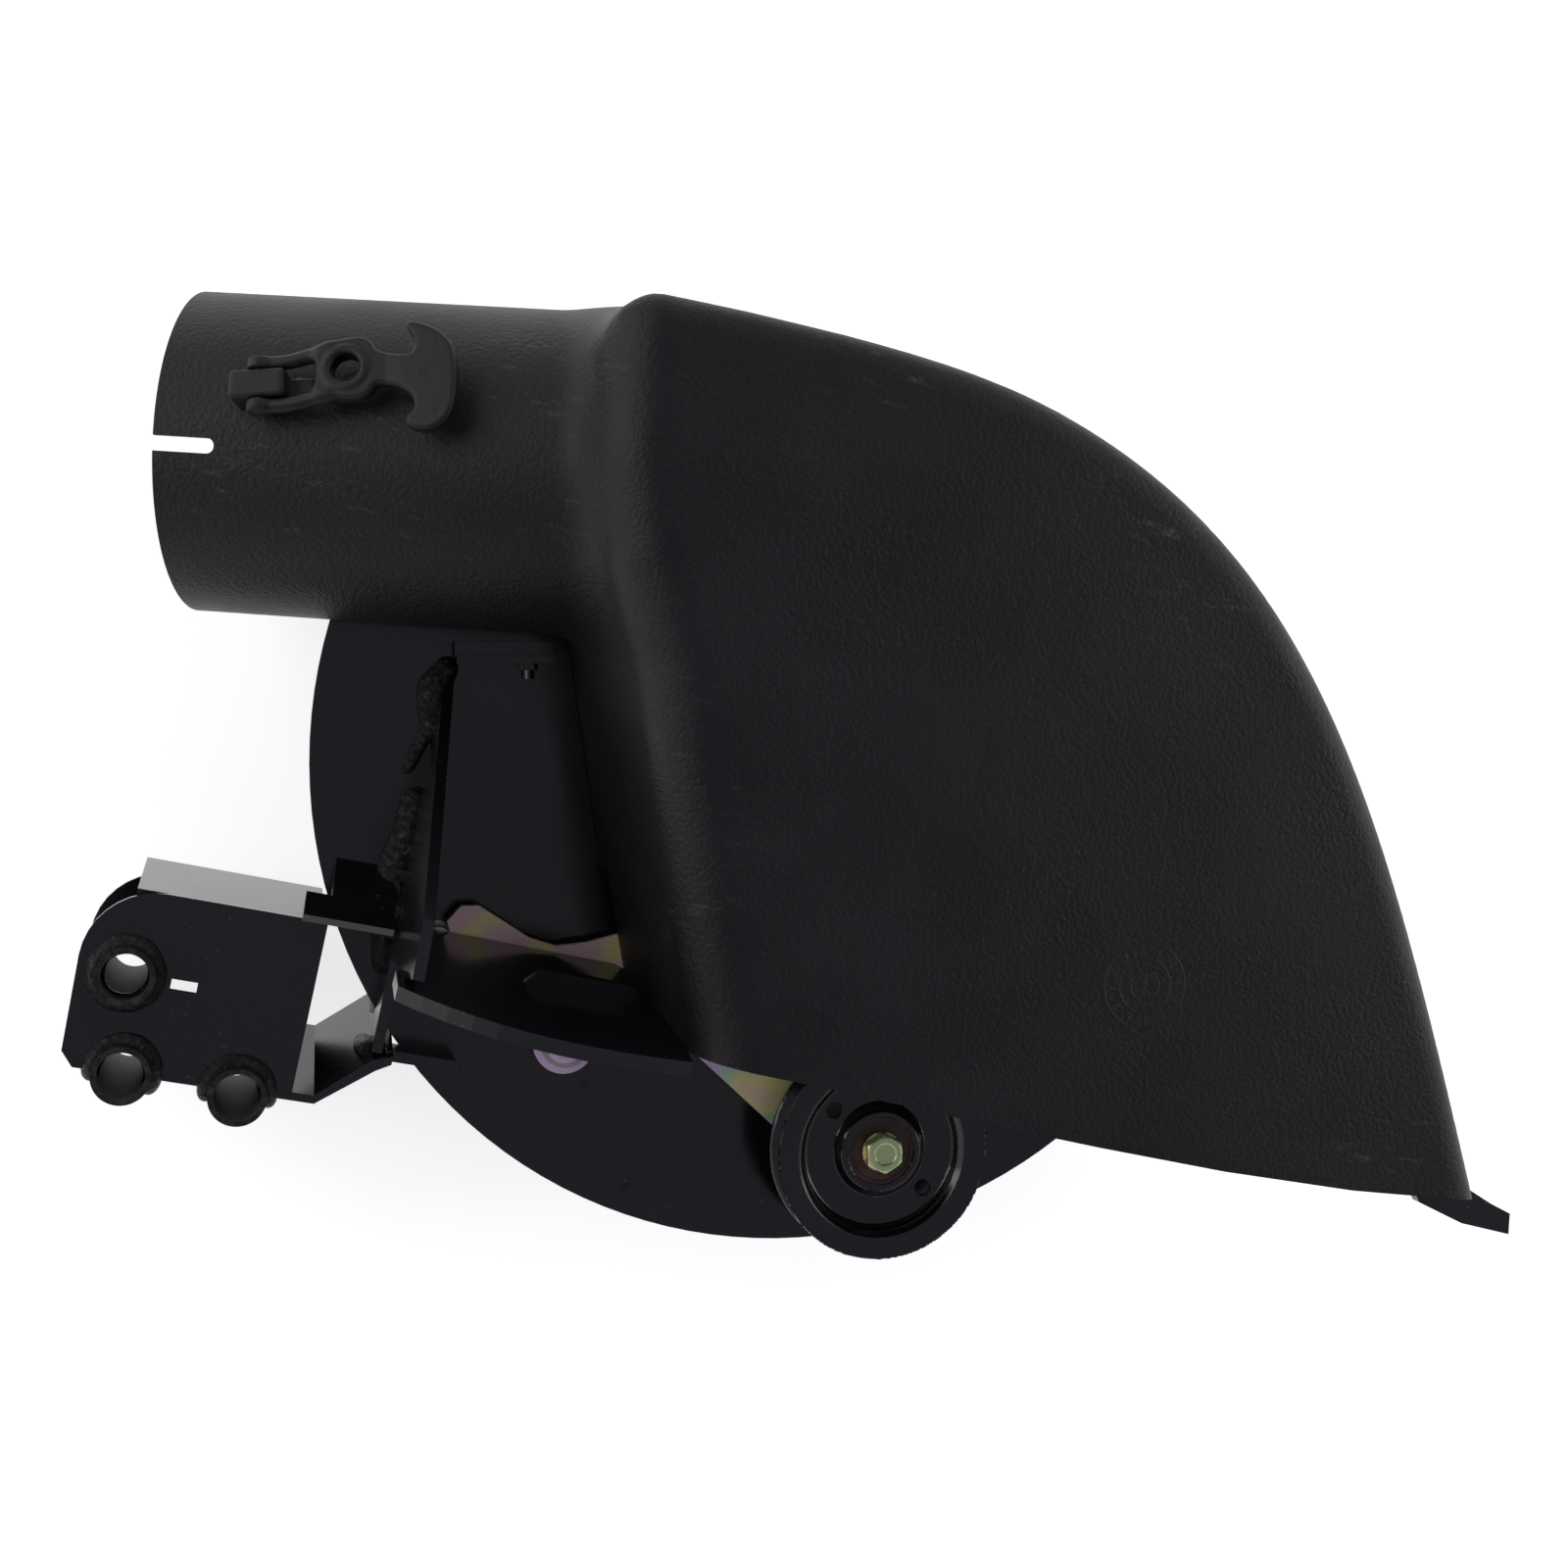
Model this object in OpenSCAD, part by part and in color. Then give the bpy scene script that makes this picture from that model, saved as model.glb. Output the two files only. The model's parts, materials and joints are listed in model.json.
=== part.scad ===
// Belt-driven blower and discharge boot for a lawn machine.
// +Z is up, the blower spindle is the Z axis and the housing floor stands on Z = 0.

/* [Housing] */
// Height of the blower can, floor to top plate
can_h = 112; // [112:1:124]
// Radius of the round housing plate
plate_r = 288; // [284:1:290]
// Thickness of the housing sheet
sheet_t = 3; // [2.5:0.5:3.5]
// Radius of the volute wall around the impeller
volute_r = 184; // [180:1:186]

/* [Impeller] */
// Radius over the impeller blades
impeller_r = 160; // [140:1:168]
// Number of impeller blades
blade_count = 8; // [4:1:10]
// Radius of the air inlet in the floor
inlet_r = 95; // [80:1:100]

/* [Boot and tube] */
// Height of the moulded boot above the top plate
boot_h = 185; // [180:1:200]
// Wall thickness of the moulded boot
boot_t = 4; // [3:0.5:5]
// Outer radius of the outlet tube
tube_r = 87.5; // [80:0.5:88]
// Slope of the outlet tube
tube_slope = 21; // [18:1:23]

/* [Hitch] */
// Outer radius of the hitch bushings
bushing_r = 15.875; // [15:0.125:17]
// Bore radius of the hitch bushings, for a 25.4 mm pin
bushing_bore_r = 12.85; // [12.8:0.01:13.2]
// Length of the hitch bushings
bushing_len = 124; // [112:1:130]
// Thickness of the hitch sheet
hitch_t = 4; // [3:0.5:5]

/* [Idler] */
// Radius of the idler pulley's flanges
idler_r = 63.5; // [55:0.5:65]
// Thickness of the plated idler arm
arm_t = 5; // [4:0.5:6]

/* [Hidden] */

$fn = 96;
fit = 0.05;
clear = 0.02;
reach = 400;
steel_black = [0.05, 0.05, 0.06];
zinc_gold = [0.80, 0.74, 0.50];
bare_steel = [0.62, 0.62, 0.60];
moulded_black = [0.09, 0.09, 0.10];
rubber_black = [0.04, 0.04, 0.04];

// Housing outline
plate_c = [-5, 55];
plate_overhang = 12;
chord_a = [-291, 80];
chord_b = [-153, 100];
plate_top = can_h;
plate_low = can_h - sheet_t;
wrap_low = sheet_t;

// Boot outline: a straight front, a slanted inner wall and a horn-shaped outer curve
boot_top = can_h + boot_h;
front_y = -105;
horn_start = [-78, 274];
horn_pull = [177, 274];
horn_lead = [254, 136];
horn_end = [377, -99];
inner_corner = [-154, 86];
tube_corner = [-186, 106];
head_corner = [-200, 236];
head_round = [-170, 268];
horn_steps = 22;

// Outlet tube frame
tube_heading = 8;
tube_rim = [-375, 156, 97];
tube_inner_r = tube_r - boot_t;
tube_tail = 220;
socket_l = 110;
socket_stop = 1;
key_slot_l = 35;
key_slot_w = 8;
key_slot_y = -8;

// Spindle stack
shaft_r = 10;
spindle_flange_r = 52;
barrel_r = 30;
barrel_top = plate_top + 38;
bearing_r = 23.5;
bearing_w = 14;
driven_r = 65;
driven_low = barrel_top + 3;
driven_w = 22;
guard_z = plate_top + 75;
guard_t = 2;

// Impeller
hub_r = 28;
hub_low = 62;
backplate_z = 96;
backplate_t = 4;
blade_low = 20;
blade_in = 100;
blade_t = 4;

// Idler
pivot = [-116, -131];
pivot_boss_r = 18;
idler_c = [78, -160];
arm_z = plate_top + 12;
pulley_low = arm_z + arm_t + 5;
pulley_w = 24;
idler_bearing_r = 20;
idler_bearing_w = 12;
idler_shaft_r = 5;
pivot_r = 6;
pivot_bush_r = 9;

// Hitch
front_z = 137;
box_depth = 103;
flange_lean = 4.5;
brace_lean = 12;
link_lean = 37;
bushing_top = 152;
bush_upper = [-361, -131];
bush_lower = [-353, -184];
bush_inner = [-291, -186];
gusset_x = -224;
gusset_t = 6;
plate_t = 8;

// Latch, in the tube's own frame: X along the tube from its rim, Z outwards
latch_roll = 15.7;
latch_x = 64;
latch_yaw = 7.4;
latch_pin_h = 11;
latch_pin_r = 3;
latch_rivet_r = 2;
latch_rivets_at = [[18, -3.5], [18, 3.5]];

// ---- helpers ----
function bezier(a, b, c, d, t) =
    pow(1 - t, 3) * a + 3 * t * pow(1 - t, 2) * b + 3 * t * t * (1 - t) * c + pow(t, 3) * d;
function left_normal(v) = [-v[1], v[0]] / norm(v);
// Moves a closed outline, given clockwise, inwards by d
function inset(p, d) = [
    for (i = [0:len(p) - 1])
        let (a = p[(i + len(p) - 1) % len(p)], b = p[i], c = p[(i + 1) % len(p)],
             n1 = left_normal(b - a), n2 = left_normal(c - b), m = (n1 + n2) / norm(n1 + n2))
            b - m * d / (m * n1)
];
boot_outline = concat(
    [[372, -109], [300, -114], [221, -115], [146, -113], [76, -110], [-18, front_y], [-78, -103],
     inner_corner, tube_corner, head_corner, [-192, 258], head_round, [-130, 272]],
    [for (i = [0:horn_steps]) bezier(horn_start, horn_pull, horn_lead, horn_end, i / horn_steps)]
);

module at_tube() {
    translate(tube_rim)
        rotate([0, -tube_slope, tube_heading])
            children();
}
module at_latch() {
    at_tube()
        rotate([-latch_roll, 0, 0])
            translate([latch_x, 0, tube_r])
                rotate([0, 0, latch_yaw])
                    children();
}
module at_idler() {
    translate([idler_c[0], idler_c[1], 0])
        children();
}
module at_pivot() {
    translate([pivot[0], pivot[1], 0])
        children();
}
module ring(r_out, r_in, z, h) {
    translate([0, 0, z])
        difference() {
            cylinder(r = r_out, h = h);
            translate([0, 0, -1])
                cylinder(r = r_in, h = h + 2);
        }
}
module hex(across, h) {
    cylinder(r = across / sqrt(3), h = h, $fn = 6);
}
module boot_prism(d, z_low, z_high) {
    translate([0, 0, z_low])
        linear_extrude(z_high - z_low)
            polygon(inset(boot_outline, d));
}
// Region on the blower's side of the flat chord
module below_chord() {
    polygon([chord_a, chord_b, [-100, 80], [400, 75], [400, -400], [-400, -400], [-400, 63]]);
}
module can_outline(d) {
    union() {
        intersection() {
            translate(plate_c)
                circle(r = plate_r - d);
            translate([0, -d])
                below_chord();
        }
        intersection() {
            circle(r = volute_r - max(0, d - plate_overhang));
            union() {
                polygon(inset(boot_outline, boot_t + 1 + max(0, d - plate_overhang)));
                below_chord();
            }
        }
    }
}
module volute_window() {
    difference() {
        circle(r = volute_r - 8);
        circle(r = 122);
        polygon([[0, 0], [-400, 250], [-400, -400], [400, -400], [400, 210]]);
    }
}

// ---- housing ----
module housing_floor() {
    color(steel_black)
        difference() {
            linear_extrude(sheet_t)
                can_outline(plate_overhang);
            translate([0, 0, -1])
                cylinder(r = inlet_r, h = sheet_t + 2);
        }
}
module inlet_ring() {
    color(steel_black)
        ring(inlet_r + sheet_t, inlet_r, sheet_t, 12);
}
module housing_wrap() {
    color(steel_black)
        translate([0, 0, wrap_low])
            linear_extrude(plate_low - wrap_low)
                difference() {
                    can_outline(plate_overhang);
                    can_outline(plate_overhang + sheet_t);
                }
}
// Everything inside the rim of the round plate, up to its top face
module can_space() {
    translate([plate_c[0], plate_c[1], -1])
        cylinder(r = plate_r + clear, h = can_h + 1 + clear);
}
module gusset_space() {
    translate([gusset_x - clear, 0, 0])
        rotate([90, 0, 90])
            linear_extrude(gusset_t + 2 * clear)
                gusset_profile();
}
module at_flange() {
    translate([-220, 70, 0])
        rotate([0, 0, 12])
            children();
}
flange_l = 56;
flange_bolt_x = 42;
flange_bolt_z = 118.5;
module notch_cut() {
    at_flange()
        translate([-clear, -clear, plate_low - 1])
            cube([flange_l + 2 * clear, 4 + 2 * clear, sheet_t + 2]);
}
module housing_top_plate() {
    color(steel_black)
        difference() {
            union() {
                translate([0, 0, plate_low])
                    linear_extrude(sheet_t)
                        can_outline(0);
                translate([0, 0, plate_low])
                    linear_extrude(sheet_t)
                        polygon(inset(boot_outline, boot_t + 1));
            }
            translate([0, 0, plate_low - 1])
                linear_extrude(sheet_t + 2)
                    union() {
                        volute_window();
                        circle(r = barrel_r - 5);
                        polygon([[-400, 107], [-152, 107], [-134, 130], [-134, 300], [-400, 300]]);
                    }
            notch_cut();
        }
}
module cylinder_x(r, l) {
    rotate([0, 90, 0])
        cylinder(r = r, h = l);
}
module plate_rivets() {
    spots = [[-280, 33], [-263, -40], [-58, -214], [-94, -158], [-250, -62]];
    color(steel_black)
        for (p = spots)
            translate([p[0], p[1], plate_top])
                difference() {
                    union() {
                        cylinder(r = 4, h = 1);
                        cylinder(r = 2.4, h = 2);
                    }
                    translate([0, 0, 1.2])
                        cylinder(r = 1.2, h = 2);
                }
}
module outlet_flange() {
    color(steel_black)
        at_flange()
            difference() {
                union() {
                    translate([0, 0, plate_low])
                        cube([flange_l, 4, 22]);
                    translate([0, 4, plate_low + 8])
                        cube([flange_l, 8, 4]);
                }
                for (x = [14, flange_bolt_x])
                    translate([x, -1, flange_bolt_z])
                        rotate([-90, 0, 0])
                            cylinder(r = 3.3, h = 5);
            }
}
module flange_bolts() {
    color(steel_black)
        at_flange()
            translate([flange_bolt_x, 3.9, flange_bolt_z])
                rotate([90, 0, 0])
                    union() {
                        cylinder(r = 3.25, h = 13);
                        translate([0, 0, 3.92])
                            hex(9, 4);
                    }
}

// ---- spindle and impeller ----
module spindle_housing() {
    color(steel_black)
        difference() {
            union() {
                translate([0, 0, plate_top])
                    cylinder(r = spindle_flange_r, h = 6);
                translate([0, 0, plate_top])
                    cylinder(r = barrel_r, h = barrel_top - plate_top);
            }
            translate([0, 0, plate_top - 1])
                cylinder(r = shaft_r + 4, h = 60);
            for (z = [plate_top - 1, barrel_top - bearing_w])
                translate([0, 0, z])
                    cylinder(r = bearing_r, h = bearing_w + 1);
            for (a = [45:90:315])
                rotate([0, 0, a])
                    translate([43, 0, plate_top - 1])
                        cylinder(r = 4.2, h = 10);
        }
}
module spindle_bolts() {
    color(bare_steel)
        for (a = [45:90:315])
            rotate([0, 0, a])
                translate([43, 0, plate_top + 6])
                    union() {
                        hex(11, 5);
                        translate([0, 0, -5.9])
                            cylinder(r = 4.1, h = 6);
                    }
}
module bearing(r_out, r_in, z, w) {
    difference() {
        ring(r_out, r_in, z, w);
        for (face = [z - 0.01, z + w - 0.79])
            ring((r_out + r_in) / 2 + 4, (r_out + r_in) / 2 - 4, face, 0.8);
    }
}
module upper_bearing() {
    color(bare_steel)
        bearing(bearing_r - 0.02, shaft_r + fit, barrel_top - bearing_w, bearing_w);
}
module lower_bearing() {
    color(bare_steel)
        bearing(bearing_r - 0.02, shaft_r + fit, plate_top, bearing_w - 1);
}
module spindle_shaft() {
    color(bare_steel)
        translate([0, 0, hub_low + 6])
            cylinder(r = shaft_r, h = driven_low + driven_w - hub_low);
}
module v_groove(r, z, w, depth) {
    rotate_extrude()
        polygon([[r + 1, z + w * 0.08], [r + 1, z + w * 0.92], [r - depth, z + w * 0.62],
                 [r - depth, z + w * 0.38]]);
}
module driven_pulley() {
    color(steel_black)
        difference() {
            translate([0, 0, driven_low])
                cylinder(r = driven_r, h = driven_w);
            translate([0, 0, driven_low - 1])
                cylinder(r = shaft_r, h = driven_w + 2);
            v_groove(driven_r, driven_low, driven_w, 14);
            ring(driven_r - 20, 22, driven_low + driven_w - 8, 9);
            ring(driven_r - 20, barrel_r + 2, driven_low - 1, 9);
        }
}
module pulley_nut() {
    color(bare_steel)
        translate([0, 0, driven_low + driven_w])
            difference() {
                union() {
                    cylinder(r = 16, h = 1.5);
                    translate([0, 0, 1.5])
                        hex(26, 6);
                }
                translate([0, 0, -1])
                    cylinder(r = shaft_r, h = 12);
            }
}
module impeller_hub() {
    color(steel_black)
        difference() {
            translate([0, 0, hub_low])
                cylinder(r = hub_r, h = backplate_z - hub_low);
            translate([0, 0, hub_low - 1])
                cylinder(r = shaft_r, h = 60);
        }
}
module impeller_plate() {
    color(steel_black)
        ring(impeller_r - 4, shaft_r, backplate_z, backplate_t);
}
module impeller_blades() {
    color(steel_black)
        for (i = [0:blade_count - 1])
            rotate([0, 0, i * 360 / blade_count])
                translate([blade_in, -blade_t / 2, blade_low])
                    cube([impeller_r - blade_in, blade_t, backplate_z - blade_low]);
}
module impeller_bolt() {
    color(bare_steel)
        translate([0, 0, hub_low])
            mirror([0, 0, 1])
                union() {
                    cylinder(r = 18, h = 3);
                    translate([0, 0, 3])
                        hex(18, 8);
                    translate([0, 0, -6])
                        cylinder(r = shaft_r - 2, h = 6.5);
                }
}
module belt_guard() {
    color(steel_black)
        difference() {
            intersection() {
                union() {
                    translate([-75, -102, guard_z])
                        cube([430, 207, guard_t]);
                    translate([-150, 103, plate_top])
                        cube([440, guard_t, guard_z - plate_top]);
                }
                boot_prism(boot_t + 1, plate_top, guard_z + guard_t);
            }
            translate([0, 0, guard_z - 1])
                linear_extrude(guard_t + 2)
                    polygon([[-200, 105.5], [-200, -200], [-95, -200], [-140, 90]]);
        }
}

// ---- idler ----
arm_edge = [
    [-196, -74], [-190, -64], [-180, -62], [-165, -68], [-148, -75], [-132, -77], [-115, -72],
    [-98, -64], [-70, -62], [-40, -80], [0, -112], [60, -136]
];
module idler_arm() {
    arm_outline = concat(arm_edge, [[104, -162], [78, -186], [50, -178], [16, -159], [-84, -97],
                                    [-98, -120], [-104, -144], [-122, -146], [-133, -134],
                                    [-134, -110], [-190, -86]]);
    color(zinc_gold)
        difference() {
            union() {
                translate([0, 0, arm_z])
                    linear_extrude(arm_t)
                        polygon(arm_outline);
                at_pivot()
                    translate([0, 0, arm_z])
                        cylinder(r = pivot_boss_r, h = arm_t);
                at_idler()
                    translate([0, 0, arm_z])
                        cylinder(r = 26, h = arm_t);
            }
            at_pivot()
                translate([0, 0, arm_z - 1])
                    cylinder(r = pivot_bush_r + fit, h = arm_t + 2);
            at_idler()
                translate([0, 0, arm_z - 1])
                    cylinder(r = idler_shaft_r + 0.02, h = arm_t + 2);
        }
}
module idler_pulley() {
    top = pulley_low + pulley_w;
    mid = pulley_low + pulley_w / 2;
    sheet = 3;
    groove_r = 46;
    color(steel_black)
        at_idler()
            difference() {
                rotate_extrude()
                    polygon([
                        [idler_bearing_r + 0.02, mid - 7], [27, mid - 7], [27, mid - sheet / 2],
                        [groove_r - 4, mid - sheet / 2], [groove_r - 4, pulley_low + 5],
                        [idler_r - 3, pulley_low], [idler_r, pulley_low], [idler_r, pulley_low + 2.5],
                        [groove_r, mid - 3], [groove_r, mid + 3], [idler_r, top - 2.5], [idler_r, top],
                        [idler_r - 3, top], [groove_r - 4, top - 5], [groove_r - 4, mid + sheet / 2],
                        [27, mid + sheet / 2], [24, mid + 7], [idler_bearing_r + 0.02, mid + 7]
                    ]);
                for (a = [155, 335])
                    rotate([0, 0, a])
                        translate([34.5, 0, mid - 6])
                            cylinder(r = 4.3, h = 12);
            }
}
module idler_bearing() {
    color([0.24, 0.17, 0.13])
        at_idler()
            bearing(idler_bearing_r, 8.5, pulley_low + pulley_w / 2 - idler_bearing_w / 2, idler_bearing_w);
}
module idler_spacer() {
    color(bare_steel)
        at_idler()
            union() {
                ring(
                    8.5 - fit,
                    idler_shaft_r + 0.02,
                    arm_z + arm_t,
                    pulley_w / 2 + 5 + idler_bearing_w / 2 + 0.6
                );
                ring(13, idler_shaft_r + 0.02, arm_z + arm_t, 4);
            }
}
module idler_bolt() {
    head_z = arm_z + arm_t + pulley_w / 2 + 5 + idler_bearing_w / 2 + 0.6;
    color(zinc_gold)
        at_idler()
            translate([0, 0, head_z])
                difference() {
                    union() {
                        cylinder(r = 12, h = 2.2);
                        translate([0, 0, 2.2])
                            rotate([0, 0, 12])
                                hex(16, 6.5);
                        translate([0, 0, arm_z - 9 - head_z])
                            cylinder(r = idler_shaft_r, h = head_z - arm_z + 10);
                    }
                    translate([0, 0, 8])
                        cylinder(r = 5, h = 2);
                }
}
module idler_nut() {
    color(zinc_gold)
        at_idler()
            translate([0, 0, arm_z - 8])
                difference() {
                    union() {
                        hex(16, 6);
                        translate([0, 0, 6])
                            cylinder(r = 11, h = 2);
                    }
                    translate([0, 0, -1])
                        cylinder(r = idler_shaft_r + 0.02, h = 12);
                }
}
module pivot_bushing() {
    color(bare_steel)
        at_pivot()
            union() {
                ring(pivot_bush_r, pivot_r + 0.02, plate_top, arm_z + arm_t + 0.6 - plate_top);
                ring(12, pivot_r + 0.02, plate_top, 1.5);
            }
}
module pivot_washer() {
    color(bare_steel)
        at_pivot()
            ring(14, pivot_r + 0.02, arm_z + arm_t + 0.6, 2);
}
module pivot_bolt() {
    color(zinc_gold)
        at_pivot()
            translate([0, 0, arm_z + arm_t + 2.6])
                union() {
                    cylinder(r = 11, h = 2);
                    translate([0, 0, 2])
                        hex(16, 7);
                    translate([0, 0, plate_top - arm_z - arm_t - 2.6])
                        cylinder(r = pivot_r, h = arm_z + arm_t + 3 - plate_top);
                }
}
// Torsion spring: closed coils around the pivot bushing, with one leg to each side
module idler_spring() {
    wire = 1.3;
    coil_r = pivot_bush_r + 5;
    color(bare_steel)
        at_pivot()
            union() {
                for (turn = [0:2])
                    translate([0, 0, plate_top + 2.6 + turn * 2 * wire])
                        rotate_extrude()
                            translate([coil_r, 0])
                                circle(r = wire + 0.02);
                translate([coil_r, 0, plate_top + 2.6])
                    rotate([-90, 0, 20])
                        cylinder(r = wire, h = 46);
                translate([-coil_r, 0, plate_top + 2.6 + 4 * wire])
                    rotate([-90, 0, -8])
                        cylinder(r = wire, h = 44);
            }
}
module stop_pin() {
    color(bare_steel)
        translate([-199, -83.5, plate_top])
            union() {
                cylinder(r = 8, h = 3);
                cylinder(r = 6, h = arm_z + arm_t + 2 - plate_top);
            }
}

// ---- welded frame ----
module gusset_profile() {
    polygon([[64, plate_top], [60, plate_top + 4], [-60, plate_top + 150], [-90, plate_top + 156],
             [-94, plate_top + 120], [-98, front_z + 6], [-152, front_z + 2], [-152, plate_top - 50],
             [-140, plate_top - 50], [-140, plate_top]]);
}
module side_gusset() {
    color(steel_black)
        translate([gusset_x, 0, 0])
            rotate([90, 0, 90])
                linear_extrude(gusset_t)
                    gusset_profile();
}
// The upright stands on the arm's far side; its top edge is curved
upright_lean = 9;
upright_turn = -0.8;
upright_foot = 120;
upright_w = 140;
upright_h = 163;
upright_drop = 46;
module at_upright() {
    translate([gusset_x + gusset_t, -79, plate_top + 20])
        rotate([upright_lean, 0, upright_turn])
            children();
}
module upright_plate() {
    color(steel_black)
        difference() {
            at_upright()
                rotate([90, 0, 0])
                    linear_extrude(plate_t)
                        polygon(concat(
                            [[0, 0], [upright_foot, 0], [upright_w, 24]],
                            [for (i = [0:12]) let (t = i / 12) [
                                upright_w * (1 - t) - 10 * t,
                                upright_h - upright_drop * pow(t, 3) - 8 * pow(1 - t, 3)
                            ]],
                            [[-10, 90], [0, 84]]
                        ));
            boot_prism(-clear, plate_top, boot_top);
            gusset_space();
        }
}
module upright_rib() {
    color(steel_black)
        at_upright()
            translate([0, 0, 66])
                linear_extrude(5)
                    polygon([[60, 0], [68, 9], [116, 9], [124, 6], [124, 0]]);
}
module weld_beads() {
    pitch = 4.6;
    color(steel_black)
        difference() {
            union() {
                for (i = [0:9])
                    translate([gusset_x - 1.2, 67 - i * pitch, plate_top + 0.5])
                        sphere(r = 4.4, $fn = 20);
                for (i = [0:15])
                    translate([gusset_x - 1.4, -10 - i * pitch, plate_top + 0.5])
                        sphere(r = 4.8, $fn = 20);
            }
            translate([gusset_x - clear, -200, 0])
                cube([20, 400, 200]);
            can_space();
            link_space();
        }
}
module hitch_profile() {
    corner = 40;
    left = -387;
    right = -262;
    top = -85;
    low = -186;
    polygon(concat(
        [[right, low], [right + 1, top]],
        [for (a = [90:10:180]) [left + corner + corner * cos(a), top - corner + corner * sin(a)]],
        [[left + 1, low + 8], [left + 8, low]]
    ));
}
module bushing_holes() {
    for (p = [bush_upper, bush_lower, bush_inner])
        translate([p[0], p[1], 0])
            cylinder(r = bushing_r, h = 200);
}
module hitch_slots() {
    translate([-330, -133, 0])
        linear_extrude(200)
            polygon([[-7, -3], [7, -3], [7, 3], [-7, 3]]);
}
// Keeps the link plate out of the bracket's own sheets
module hitch_hidden_space() {
    translate([-reach, -200, 0])
        cube([reach - 262 + clear, reach, front_z + clear]);
}
module hitch_front_plate() {
    color(steel_black)
        difference() {
            translate([0, 0, front_z - hitch_t])
                linear_extrude(hitch_t)
                    hitch_profile();
            bushing_holes();
            hitch_slots();
        }
}
module hitch_rear_plate() {
    color(steel_black)
        difference() {
            translate([0, 0, front_z - box_depth])
                linear_extrude(hitch_t)
                    hitch_profile();
            bushing_holes();
            translate([-329, -150, 0])
                cylinder(r = 15, h = front_z);
        }
}
// A leaning strip behind the front plate's top edge
module hitch_top_flange() {
    strip_x = -364;
    strip_l = 102;
    color(steel_black)
        difference() {
            translate([strip_x, -85, front_z - hitch_t - clear])
                rotate([flange_lean, 0, 0])
                    translate([0, -hitch_t, -box_depth + 2 * hitch_t])
                        cube([strip_l, hitch_t, box_depth - 2 * hitch_t]);
            translate([-reach, -200, 0])
                cube([reach, reach, front_z - box_depth + hitch_t + clear]);
            translate([-reach, -200, front_z - hitch_t - clear])
                cube([reach, reach, 50]);
        }
}
module hitch_bushing(p) {
    translate([p[0], p[1], 0])
        ring(bushing_r, bushing_bore_r, bushing_top - bushing_len, bushing_len);
}
module hitch_bushing_upper() {
    color(steel_black)
        hitch_bushing(bush_upper);
}
module hitch_bushing_lower() {
    color(steel_black)
        hitch_bushing(bush_lower);
}
module hitch_bushing_inner() {
    color(steel_black)
        hitch_bushing(bush_inner);
}
// Leaning plate from the bracket's top strip down to the round plate
module link_space() {
    translate([-276, -51, plate_top])
        rotate([link_lean - 90, 0, 0])
            translate([0, -50, -5])
                cube([50, 52, 5]);
}
module hitch_link_plate() {
    color(steel_black)
        difference() {
            link_space();
            can_space();
            hitch_hidden_space();
            gusset_space();
        }
}
module lower_brace() {
    dogleg = 38;
    color(steel_black)
        difference() {
            union() {
                translate([-262, -186, front_z])
                    rotate([brace_lean, 0, 0])
                        translate([0, 0, -box_depth])
                            linear_extrude(box_depth)
                                polygon([[0, 0], [13, 0], [dogleg + 4, 25], [dogleg + 12, 30],
                                         [dogleg + 12, 35], [dogleg + 1, 31], [12, 5], [0, 5]]);
                translate([-216, -156, plate_top])
                    cube([40, 6, front_z - plate_top]);
            }
            can_space();
            gusset_space();
        }
}
rail_low = boot_top - boot_t - 30;
module front_rail() {
    color(steel_black)
        union() {
            translate([-60, front_y + 6, rail_low])
                cube([406, 4, 28]);
            translate([346, front_y + 3.9, rail_low])
                linear_extrude(7)
                    polygon([[-10, 3], [0, 0], [14, -18], [44, -26], [76, -28], [74, -16], [60, -12], [12, 6],
                             [-10, 6]]);
        }
}

// ---- boot ----
module boot_shell() {
    color(moulded_black)
        difference() {
            union() {
                boot_prism(0, plate_top, boot_top);
                at_tube()
                    cylinder_x(tube_r, tube_tail);
            }
            difference() {
                boot_prism(boot_t, plate_top - 20, boot_top - boot_t);
                translate([-reach, -reach, plate_top - 25])
                    cube([1000, 1000, 25]);
            }
            at_tube()
                translate([-1, 0, 0])
                    cylinder_x(tube_inner_r, socket_l + 1);
            at_tube()
                cylinder_x(tube_inner_r - socket_stop, tube_tail + 40);
            translate([-76, front_y - 20, plate_top - 1])
                linear_extrude(boot_h - boot_t + 1)
                    polygon([[0, 0], [446, 0], [440, 30], [-6, 30]]);
            at_tube()
                translate([-1, key_slot_y, 0])
                    cube([key_slot_l + 1, key_slot_w, tube_r + 10]);
            // Way through for the idler arm under the inner wall
            translate([-130, -140, plate_top - 1])
                cube([110, 112, arm_z + arm_t + 4 - plate_top]);
            // Way through for the rail's tab in the outer wall
            translate([340, -140, rail_low - 0.3])
                cube([60, 47, 7.6]);
            at_latch()
                for (p = latch_rivets_at)
                    translate([p[0], p[1], -12])
                        cylinder(r = latch_rivet_r + clear, h = 20);
        }
}
module boot_bolts() {
    color(bare_steel)
        for (t = [0.12, 0.34, 0.56, 0.78, 0.95])
            let (p = bezier(horn_start, horn_pull, horn_lead, horn_end, t))
                translate([p[0] - 16, p[1] - 18, plate_top + 0.02])
                    union() {
                        cylinder(r = 8, h = 2);
                        translate([0, 0, 2])
                            hex(10, 5);
                    }
}

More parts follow.
